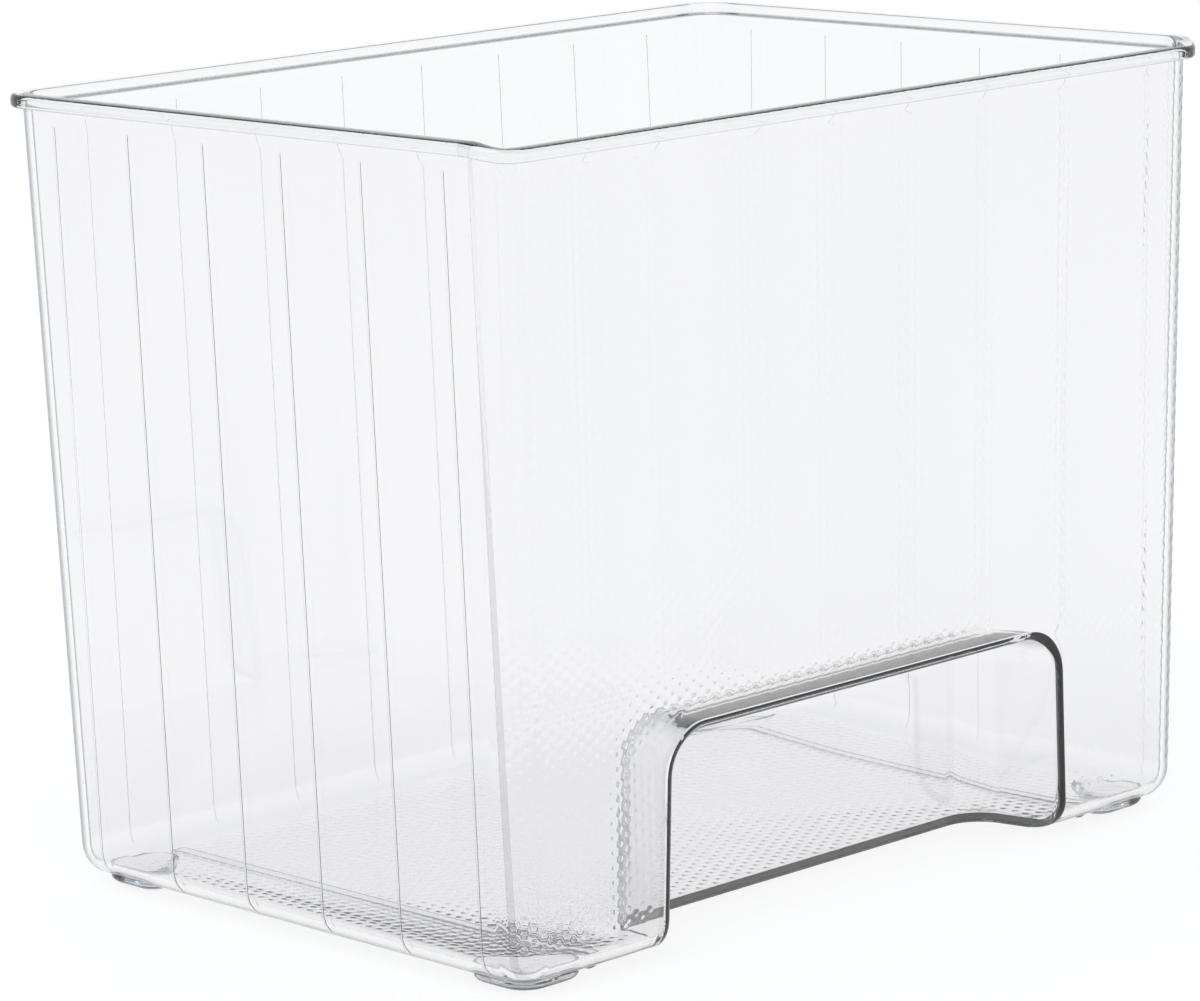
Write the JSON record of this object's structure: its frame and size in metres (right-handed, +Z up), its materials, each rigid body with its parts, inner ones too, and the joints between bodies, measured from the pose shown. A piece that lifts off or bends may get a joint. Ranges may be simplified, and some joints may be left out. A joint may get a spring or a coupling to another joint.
{
  "type": "fridge bin",
  "caption": "Clear open storage bin with rim, textured front, finger pocket at the foot of the front, ribbed sides and back, and low feet.",
  "frame": {"origin": "middle of the bin's footprint, on the ground under the feet", "axes": "+X to the right seen from the front, +Y from the front to the back, +Z up"},
  "size_m": [0.25, 0.18, 0.2],
  "materials": {
    "clear_plastic": "clear, polished",
    "textured_clear_plastic": "clear, covered with small staggered beads"
  },
  "bodies": {
    "root": {"tub": "clear_plastic", "front_panel": "textured_clear_plastic", "handle_pocket": "clear_plastic", "front_left_foot": "clear_plastic", "front_right_foot": "clear_plastic", "back_left_foot": "clear_plastic", "back_right_foot": "clear_plastic", "left_runner": "clear_plastic", "right_runner": "clear_plastic"}
  },
  "joints": []
}
